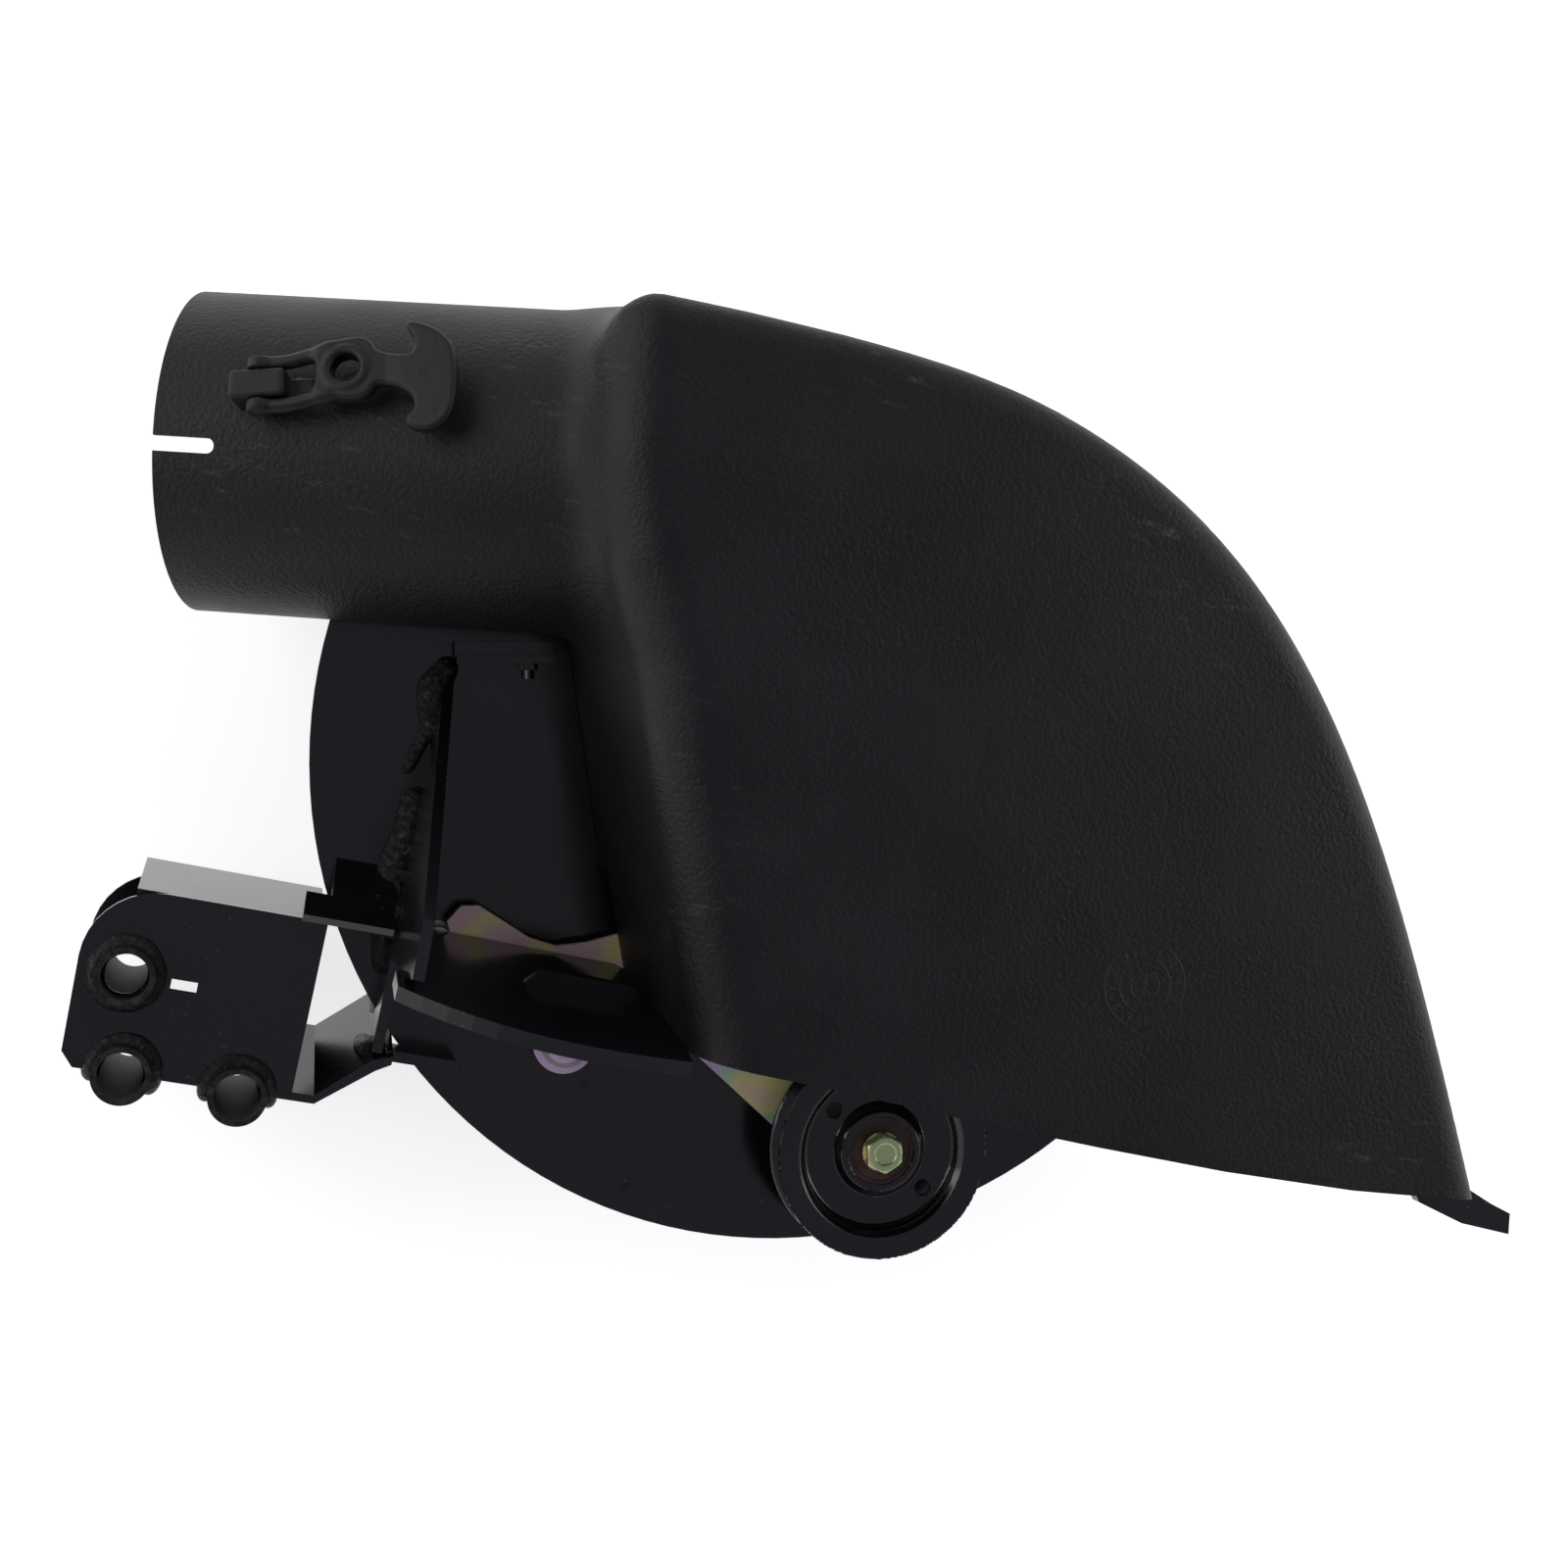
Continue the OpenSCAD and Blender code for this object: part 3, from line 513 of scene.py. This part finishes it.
def prism(name, outline, z_low, z_high):
    """Closed prism of an outline in XY, for cutting."""
    count = len(outline)
    points = [(x * MM, y * MM, z * MM) for z in (z_low, z_high) for x, y in outline]
    faces = [list(range(count))[::-1], [count + i for i in range(count)]]
    faces += [[i, (i + 1) % count, count + (i + 1) % count, count + i] for i in range(count)]
    mesh = bpy.data.meshes.new(name)
    mesh.from_pydata(points, [], faces)
    form = bmesh.new()
    form.from_mesh(mesh)
    bmesh.ops.recalc_face_normals(form, faces=form.faces)
    form.to_mesh(mesh)
    form.free()
    obj = bpy.data.objects.new(name, mesh)
    bpy.context.scene.collection.objects.link(obj)
    return obj


def moved(obj, origin, rows):
    """Places a piece made about its own origin into the row frame."""
    turn = Matrix([list(rows[:, i]) for i in range(3)]).to_4x4()
    obj.data.transform(Matrix.Translation(Vector(origin) * MM) @ turn)
    return obj


def cut_once(obj, cutter, solver):
    cut = obj.modifiers.new("cut", "BOOLEAN")
    cut.operation = "DIFFERENCE"
    cut.solver = solver
    cut.object = cutter
    bpy.context.view_layer.update()
    made = bpy.data.meshes.new_from_object(obj.evaluated_get(bpy.context.evaluated_depsgraph_get()))
    obj.modifiers.clear()
    return made


def carve(obj, *cutters):
    """Cuts the cutters out of obj, applies that and removes the cutters."""
    for cutter in cutters:
        for solver in ("MANIFOLD", "EXACT"):
            made = cut_once(obj, cutter, solver)
            if len(made.polygons) not in (0, len(obj.data.polygons)):
                break
        obj.data = made
        bpy.data.objects.remove(cutter)
    return obj


def crisp(obj, degrees=32):
    """Smooth shading that stays sharp where faces meet at more than this angle."""
    form = bmesh.new()
    form.from_mesh(obj.data)
    for face in form.faces:
        face.smooth = True
    for edge in form.edges:
        edge.smooth = not (len(edge.link_faces) == 2 and edge.calc_face_angle(0) > math.radians(degrees))
    form.to_mesh(obj.data)
    form.free()
    return obj


def finish_piece(obj, material, body, slot, *nodes):
    dress(obj, material)
    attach(obj, body)
    if nodes:
        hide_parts(*nodes)
    return obj


# ---- the boot ----

HORN = [(-78, 274), (177, 274), (254, 136), (377, -99)]
LEFT_WALL = [(-72, -150), (-87, -98), (-111, -36), (-132, 23), (-154, 84), (-178, 130), (-195, 180),
             (-204, 236), (-210, 300)]
MOUTH = [(420, -108), (372, -109), (300, -114), (221, -115), (146, -113), (76, -110), (-18, -105),
         (-78, -103), (-130, -101)]
RIDGE_R, OUTER_R, FILLET_R, DRAFT = 30.0, 15.0, 16.0, 0.05
TUBE_ENDS = (-30.0, 250.0)
CROWN, CROWN_R = node_box("boot_shell")[1][1], 6.0
BOOT_GRID, BOOT_CELL = ((-470, -185, -30), (405, 300, 312)), 5.0
OPEN_BELOW = 0.6
RIM_TILT = math.radians(4)
KEY_SLOT_END, KEY_SLOT_Y, KEY_SLOT_R = 34.9, -4.1, 4.0
ARM_WAY = [(-135, -145), (-20, -145), (-20, -28), (-135, -28)]


def bezier(points, t):
    a, b, c, d = (np.array(p, float) for p in points)
    return (1 - t) ** 3 * a + 3 * t * (1 - t) ** 2 * b + 3 * t * t * (1 - t) * c + t ** 3 * d


OUTER = ([tuple(bezier(HORN, i / 40)) for i in range(41)]
         + [(410, -165), (-300, -165), (-300, 262), (-190, 268), (-130, 272)])
LEFT = LEFT_WALL + [(700, 300), (700, -150)]


def tube_field(points, grow):
    """The outlet tube; grow shrinks its radius and lengthens it past the rim."""
    local = in_axes(points, TUBE_RIM, TUBE_AXES)
    across = np.hypot(local[:, 1], local[:, 2]) - TUBE_R + grow
    return np.maximum(across, np.maximum(TUBE_ENDS[0] - 2 * grow - local[:, 0], local[:, 0] - TUBE_ENDS[1]))


def boot_field(points, grow=0.0, bottom=0.0):
    """The body run together with the tube, kept grow inside the outer skin."""
    high = points[:, 2] - BOOT_TOP
    rise = points[:, 2] - PLATE_TOP
    left = polygon_field(points, LEFT) + DRAFT * rise
    outer = polygon_field(points, OUTER)
    body = round_both(round_both(outer, high, OUTER_R), left, RIDGE_R) + grow
    body = np.maximum(body, bottom - rise)
    whole = round_either(body, tube_field(points, grow), FILLET_R)
    return round_both(whole, points[:, 1] - CROWN + grow, CROWN_R)


def boot_inner(points):
    """The hollow, reaching a little below the shell so that the cut leaves its underside open."""
    return boot_field(points, WALL, -OPEN_BELOW)


def make_boot():
    shell = surface("boot", boot_field, *BOOT_GRID, BOOT_CELL)
    inside = surface("boot_inside", boot_inner, *BOOT_GRID, BOOT_CELL)
    mouth = prism("mouth_cut", MOUTH + [(-130, -300), (420, -300)], PLATE_TOP - 5, BOOT_TOP + 20)
    arm_way = prism("arm_way", ARM_WAY, PLATE_TOP - 3, PLATE_TOP + 21)
    tilt = axes((math.cos(RIM_TILT), 0, -math.sin(RIM_TILT)), (0, 1, 0),
                (math.sin(RIM_TILT), 0, math.cos(RIM_TILT))) @ TUBE_AXES
    rim = moved(prism("rim_cut", [(-90, -130), (0, -130), (0, 130), (-90, 130)], -130, 130), TUBE_RIM, tilt)
    tip = [(KEY_SLOT_END + KEY_SLOT_R * math.cos(a), KEY_SLOT_Y + KEY_SLOT_R * math.sin(a))
           for a in np.linspace(-math.pi / 2, math.pi / 2, 9)]
    slot = [(-20, KEY_SLOT_Y - KEY_SLOT_R)] + tip + [(-20, KEY_SLOT_Y + KEY_SLOT_R)]
    key = moved(prism("key_slot", slot, 40, 120), TUBE_RIM, TUBE_AXES)
    carve(shell, inside, mouth, arm_way, rim, key)
    return crisp(shell)


def trim_mouth(obj):
    """Gives the cut faces of the mouth their own paler material."""
    front = [y for x, y in MOUTH]
    near, far = (min(front) - 3) * MM, (max(front) + 3) * MM
    obj.data.materials.append(TRIMMED)
    for face in obj.data.polygons:
        if face.normal.y < -0.9 and near < face.center.y < far:
            face.material_index = 1


boot = finish_piece(make_boot(), MATERIALS["moulded_polyethylene"], "housing", "moulded_polyethylene",
                    "boot_shell")
trim_mouth(boot)

# ---- welds: strings of metal drops run together ----


WELD_MARGIN, WELD_CELL, MELT = 11.0, 1.5, 2.2


def drops_field(drops):
    """Balls of metal that run together where they are closer than about MELT."""
    places, radii = np.array([d[0] for d in drops], float), np.array([d[1] for d in drops], float)

    def field(points):
        away = np.linalg.norm(points[:, None, :] - places[None], axis=2) - radii
        return -MELT * np.log(np.exp(-np.clip(away, -20, 60) / MELT).sum(1))
    return field


def weld_piece(name, drops, cell, *nodes):
    places = np.array([d[0] for d in drops], float)
    low, high = places.min(0) - WELD_MARGIN, places.max(0) + WELD_MARGIN
    obj = surface(name, drops_field(drops), low, high, cell, 2)
    return finish_piece(obj, WELD, "housing", "black_paint", *nodes)


GUSSET_FACE = node_box("side_gusset")[0][0]
BRACKET_FACE = node_box("hitch_front_plate")[1][2]
# each run down the gusset: y where it starts and stops, its spread and the step between drops
GUSSET_RUNS = ((69, 26, 5.6, 2.4), (-8, -110, 6.4, 2.4))
DRIP_DROPS = 9


def gusset_welds():
    """Two ragged runs along the gusset's foot, with a thin drip below the first."""
    dice = random.Random(7)
    drops = []
    for start, stop, spread, step in GUSSET_RUNS:
        for i in range(int((start - stop) / step)):
            y = start - i * step
            swell = 0.6 + 0.6 * math.sin(math.pi * (i + 1) * step / (start - stop)) + 0.25 * dice.random()
            for _ in range(2):
                drops.append(((GUSSET_FACE + 2.2 - 1.4 * spread * swell * dice.random(),
                               y + dice.uniform(-1.5, 1.5), PLATE_TOP + dice.uniform(-0.5, 2.5) * swell),
                              dice.uniform(1.3, 3.6) * swell))
    for i in range(DRIP_DROPS):
        drops.append(((GUSSET_FACE - 4 - 0.7 * i, 26 - 2.6 * i, PLATE_TOP + 0.3), 1.5))
    return weld_piece("gusset_welds", drops, WELD_CELL, "weld_beads")


COLLAR_DROPS = 60


def collar_welds(name, node, gaps):
    """Lumpy fillet around one bushing, missing between the given angles."""
    dice = random.Random(name)
    low, high = node_box(node)
    centre, radius = (low + high) / 2, (high[0] - low[0]) / 2
    drops = []
    for i in range(COLLAR_DROPS):
        angle = (i + dice.uniform(-0.5, 0.5)) * 2 * math.pi / COLLAR_DROPS
        if gaps[0] < math.degrees(angle) < gaps[1]:
            continue
        reach = radius + dice.uniform(0.2, 1.6)
        drops.append(((centre[0] + reach * math.cos(angle), centre[1] + reach * math.sin(angle),
                       BRACKET_FACE + dice.uniform(-1.2, 0.2)), dice.uniform(0.8, 2.1)))
    return weld_piece(name, drops, 1.0)


def seam_welds():
    """Short runs where the brace and link plate meet the gusset."""
    dice = random.Random(3)
    drops = []
    for i in range(14):
        drops.append(((GUSSET_FACE - 2 + dice.uniform(-2, 1), -153 + dice.uniform(-2, 2),
                       PLATE_TOP + 1.8 * i - 4), dice.uniform(1.2, 2.4)))
    for i in range(12):
        drops.append(((GUSSET_FACE - 1 + dice.uniform(-2.5, 1), -84 + 2.2 * i + dice.uniform(-1, 1),
                       PLATE_TOP + 34 - 2.6 * i), dice.uniform(1.8, 3.4)))
    return weld_piece("seam_welds", drops, WELD_CELL)


gusset_welds()
collar_welds("collar_upper", "hitch_bushing_upper", (0, 0))
collar_welds("collar_lower", "hitch_bushing_lower", (200, 330))
collar_welds("collar_inner", "hitch_bushing_inner", (200, 340))
seam_welds()

# ---- idler wheel and its bolt, turned about the wheel's own axis ----

WHEEL_LOW, WHEEL_HIGH = node_box("idler_pulley")
WHEEL_CENTRE = (WHEEL_LOW + WHEEL_HIGH) / 2
WHEEL_R, WHEEL_HALF = (WHEEL_HIGH[0] - WHEEL_LOW[0]) / 2, (WHEEL_HIGH[2] - WHEEL_LOW[2]) / 2
BEARING_R = np.ptp([edge[0] for edge in node_box("idler_bearing")]) / 2
BOLT_LOW, BOLT_HIGH = node_box("idler_bolt")
GROOVE_R, SHEET, HUB_R, HUB_HALF = 49.5, 3.0, 25.0, 7.0
WEB_HOLES = [(37.0, 150), (37.0, 330)]
HEAD_ACROSS, HEAD_H, SHAFT_R = 21.0, 8.7, 5.0


def wheel_field(points):
    """Two dished sheets back to back: rolled flanges, a flat web and a raised hub."""
    x, y, z = (points - WHEEL_CENTRE).T
    r, side = np.hypot(x, y), np.abs(z)
    recess = GROOVE_R - SHEET
    half = [(BEARING_R + 0.02, HUB_HALF), (HUB_R - 1, HUB_HALF), (HUB_R + 3, SHEET / 2),
            (recess - 2, SHEET / 2), (recess, SHEET), (recess + 0.5, WHEEL_HALF - 5), (recess + 4, WHEEL_HALF - 1.2),
            (WHEEL_R - 3, WHEEL_HALF), (WHEEL_R, WHEEL_HALF), (WHEEL_R, WHEEL_HALF - 2.5), (GROOVE_R, 3)]
    outline = half + [(a, -b) for a, b in half[::-1]]
    body = polygon_field(np.stack([r, side], 1), outline)
    for reach, degrees in WEB_HOLES:
        angle = math.radians(degrees)
        hole = 4.8 - np.hypot(x - reach * math.cos(angle), y - reach * math.sin(angle))
        body = round_both(body, hole, 0.6)
    return body


def bolt_field(points):
    """A hex head with a washer face and a dished top, on its shaft."""
    centre = (BOLT_LOW + BOLT_HIGH) / 2
    x, y = (points[:, :2] - centre[:2]).T
    below = BOLT_HIGH[2] - points[:, 2]
    r = np.hypot(x, y)
    flats = [math.cos(a) * x + math.sin(a) * y for a in np.radians((14, 74, 134))]
    hexagon = np.abs(flats).max(0) - HEAD_ACROSS / 2
    chamfer = (r - HEAD_ACROSS / 2 + 0.6 - 1.6 * below) / 1.9
    head = round_both(round_both(hexagon, np.abs(below - HEAD_H / 2) - HEAD_H / 2, 0.5), chamfer, 0.4)
    head = np.maximum(head, -np.maximum(r - 6.6, below - 0.7))
    washer = np.maximum(r - 11.8, np.abs(below - HEAD_H + 0.6) - 0.6)
    shaft = np.maximum(r - SHAFT_R, np.maximum(-below, BOLT_LOW[2] - points[:, 2]))
    return np.minimum(np.minimum(head, washer), np.maximum(shaft, HEAD_H - 1 - below))


def lathe_piece(name, field, low, high, cell, material, *ride):
    obj = crisp(surface(name, field, low - 2 * cell, high + 2 * cell, cell), 40)
    return finish_piece(obj, material, *ride)


lathe_piece("wheel", wheel_field, WHEEL_LOW, WHEEL_HIGH, 1.3, MATERIALS["black_paint"],
            "idler_wheel", "black_paint", "idler_pulley")
lathe_piece("wheel_bolt", bolt_field, BOLT_LOW, BOLT_HIGH, 0.7, BOLT_ZINC,
            "idler", "yellow_zinc", "idler_bolt")

# ---- rubber latch, in its own axes: X along the strap, Z off the tube ----


def eased(points, rounds=3):
    """Corner-cut closed outline."""
    points = np.array(points, float)
    for _ in range(rounds):
        following = np.roll(points, -1, axis=0)
        near, far = 0.75 * points + 0.25 * following, 0.25 * points + 0.75 * following
        points = np.stack([near, far], 1).reshape(-1, 2)
    return points


STRAP_HALF = [(29, 12.5), (36, 15.0), (50, 16.8), (55.5, 16.4), (59, 13.5), (61.5, 9.2), (66, 8.4), (74, 8.6),
              (79.5, 10.5), (82, 15), (81, 20), (77, 24), (77.5, 28), (83, 29), (92, 27.5), (99, 22),
              (102.8, 14), (103.6, 0)]
STRAP_OUTLINE = eased(STRAP_HALF + [(x, -y) for x, y in STRAP_HALF[-2::-1]], 2)
STRAP_DOTS = [(36, 9.5), (36, -9.5), (57, 7), (86, 0), (90, 18), (90, -18)]


def gradual(x, start, stop):
    """0 before start, 1 after stop and smooth between."""
    t = np.clip((x - start) / (stop - start), 0, 1)
    return t * t * (3 - 2 * t)


def strap_field(points):
    """Forked arms and eyes round the pin, a waisted plate with a lipped hole, and a T grip."""
    x, y, z = points.T
    y = y - 4.5 * gradual(x, 12, 44) + 10.0 * gradual(x, 56, 100)
    points = np.stack([x, y, z], 1)
    lift = np.clip(x - 55, 0, 60) * 0.05
    middle = 12.6 + lift
    side = np.abs(y)
    folded = np.stack([x, side, z], 1)
    arm = capsule(folded, (1, 11.2, PIN_RISE), (36, 12.2, 12.4), 3.9)
    eye = round_both(np.hypot(x, z - PIN_RISE) - 6.2, np.abs(side - 11.2) - 3.2, 1.2)
    thick = 4.6 - 0.6 * np.clip((np.abs(x - 67) - 8) / -8, 0, 1)
    plate = round_both(polygon_field(points, STRAP_OUTLINE), np.abs(z - middle) - thick, 2.2)
    body = round_either(round_either(arm, eye, 2.0), plate, 4.0)
    hole = np.hypot(x - 46, y)
    lip = round_both(np.abs(hole - 10.2) - 2.2, np.abs(z - 13.4) - 5.0, 1.4)
    body = round_either(body, lip, 1.0)
    for dot_x, dot_y in STRAP_DOTS:
        off = np.abs(np.hypot(x - dot_x, y - dot_y) - 2.1) - 0.35
        body = np.minimum(body, np.maximum(off, np.abs(z - middle - 3.6) - 1.3))
    fork = round_both(side - 8.0, x - 31, 5.0)
    return round_both(round_both(body, 7.4 - hole, 1.0), -fork, 1.2)


def lug_field(points):
    """The anchor lug, moulded over its steel base."""
    x, y, z = points.T
    lug = block(points, (0, 0, 7.6), (14.4, 7.4, 9.2), 2.0)
    toe = block(points, (18, 0, 1.8), (9, 5.6, 3.4), 1.4)
    shape = round_either(lug, toe, 2.5)
    return np.maximum(shape, -(np.hypot(y, z + TUBE_R) - TUBE_R + 0.5))


strap = moved(surface("strap", strap_field, (-12, -36, 0), (110, 36, 26), 1.15), LATCH_ORIGIN, LATCH_AXES)
finish_piece(strap, MATERIALS["latch_rubber"], "latch", "latch_rubber", "latch_strap")
lug = moved(surface("latch_lug", lug_field, (-20, -12, -6), (32, 12, 22), 1.2), LATCH_ORIGIN, LATCH_AXES)
finish_piece(crisp(lug, 50), MATERIALS["latch_rubber"], "housing", "latch_rubber", "latch_base")

# ---- studio ----


def make_floor():
    """A white sheet that glows enough to stay white under the part."""
    mesh = bpy.data.meshes.new("floor")
    size = 30.0
    corners = [(-size, -size, 0), (size, -size, 0), (size, size, 0), (-size, size, 0)]
    mesh.from_pydata(corners, [], [(0, 1, 2, 3)])
    floor = bpy.data.objects.new("floor", mesh)
    bpy.context.scene.collection.objects.link(floor)
    g = Graph("floor_white")
    g.set(Base_Color=rgba(0.85, 0.85, 0.85), Roughness=0.9,
          Emission_Color=rgba(1, 1, 1), Emission_Strength=0.7)
    dress(floor, g.material)
    floor.location.z = -0.0005


def area_light(name, place, aim, size, power):
    data = bpy.data.lights.new(name, "AREA")
    data.shape = "RECTANGLE"
    data.size, data.size_y = size
    data.energy = power
    light = bpy.data.objects.new(name, data)
    light.location = place
    light.rotation_euler = (Vector(aim) - Vector(place)).to_track_quat("-Z", "Y").to_euler()
    bpy.context.scene.collection.objects.link(light)


def make_world():
    """Bright towards the horizon, dim and slightly violet overhead."""
    world = bpy.data.worlds.new("studio")
    bpy.context.scene.world = world
    world.use_nodes = True
    tree = world.node_tree
    back = tree.nodes["Background"]
    direction = tree.nodes.new("ShaderNodeTexCoord")
    parts = tree.nodes.new("ShaderNodeSeparateXYZ")
    ramp = tree.nodes.new("ShaderNodeValToRGB")
    tree.links.new(direction.outputs["Generated"], parts.inputs[0])
    tree.links.new(parts.outputs[2], ramp.inputs[0])
    tree.links.new(ramp.outputs[0], back.inputs["Color"])
    bands = ((0.28, (0.62, 0.615, 0.63)), (0.78, (0.185, 0.182, 0.215)))
    for element, (where, colour) in zip(ramp.color_ramp.elements, bands):
        element.position = where
        element.color = (*colour, 1)
    back.inputs["Strength"].default_value = 1.0


CAMERA_PLACE, CAMERA_LENS = (-0.340218, 0.059087, 1.312), 48.0
CAMERA_RIGHT = Vector((0.94575, 0.203444, 0.253313))
CAMERA_UP = Vector((-0.192415, 0.978965, -0.067852))
CAMERA_FORWARD = Vector((0.261789, -0.01543, -0.965002))


def make_camera():
    data = bpy.data.cameras.new("camera")
    data.lens = CAMERA_LENS
    data.sensor_width = 36.0
    data.clip_start = 0.01
    camera = bpy.data.objects.new("camera", data)
    turn = Matrix((CAMERA_RIGHT, CAMERA_UP, -CAMERA_FORWARD)).transposed().to_4x4()
    camera.matrix_world = Matrix.Translation(CAMERA_PLACE) @ turn
    bpy.context.scene.collection.objects.link(camera)
    bpy.context.scene.camera = camera


make_floor()
make_world()
make_camera()
AIM = (0, 0, 0.1)
area_light("left_panel", (-1.8, 0.4, 1.1), AIM, (1.6, 1.6), 12)
area_light("right_panel", (1.9, 0.7, 1.2), AIM, (1.4, 1.4), 14)
area_light("top_panel", (0.2, 1.7, 1.6), AIM, (1.8, 1.0), 4)
bpy.context.scene.view_settings.view_transform = "Standard"

bpy.context.view_layer.update()
